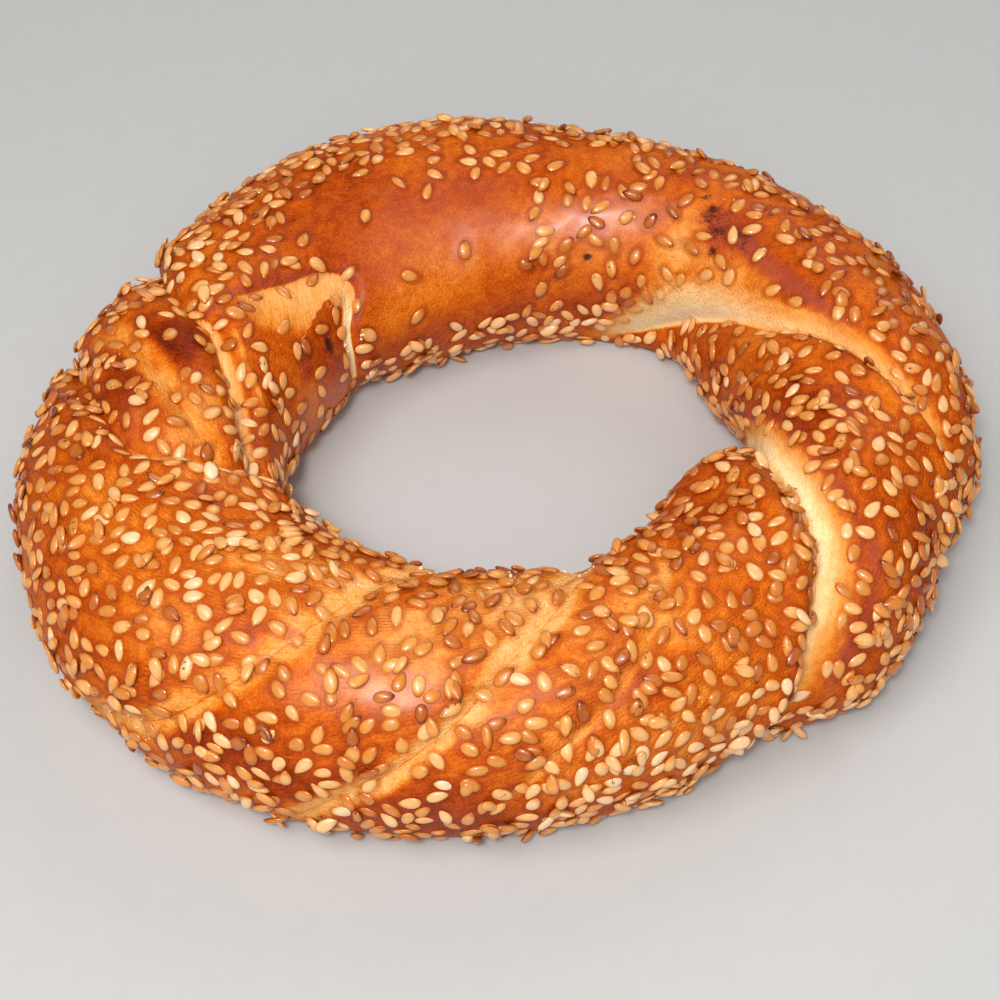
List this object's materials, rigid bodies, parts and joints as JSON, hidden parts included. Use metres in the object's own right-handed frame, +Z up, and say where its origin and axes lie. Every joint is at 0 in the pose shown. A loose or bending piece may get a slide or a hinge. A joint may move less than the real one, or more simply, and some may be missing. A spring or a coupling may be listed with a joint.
{
  "type": "sesame simit bread ring",
  "caption": "Twisted ring of baked sesame bread with a round hole, lying on its flat underside.",
  "frame": {"origin": "middle of the flat underside, on the surface the bread lies on", "axes": "+Z up through the hole, X along the ring's widest way, Y across it with -Y the side with the smooth front lap"},
  "size_m": [0.1421, 0.1359, 0.0332],
  "materials": {
    "crust": "egg-washed orange-brown bread crust, darker where it browned and cream where the dough tore open",
    "seeds": "toasted sesame seeds, cream to brown, with a thin gloss from the glaze",
    "crumbs": "dry crumbs of torn crust"
  },
  "bodies": {
    "root": {"simit_ring": "crust"}
  },
  "joints": []
}
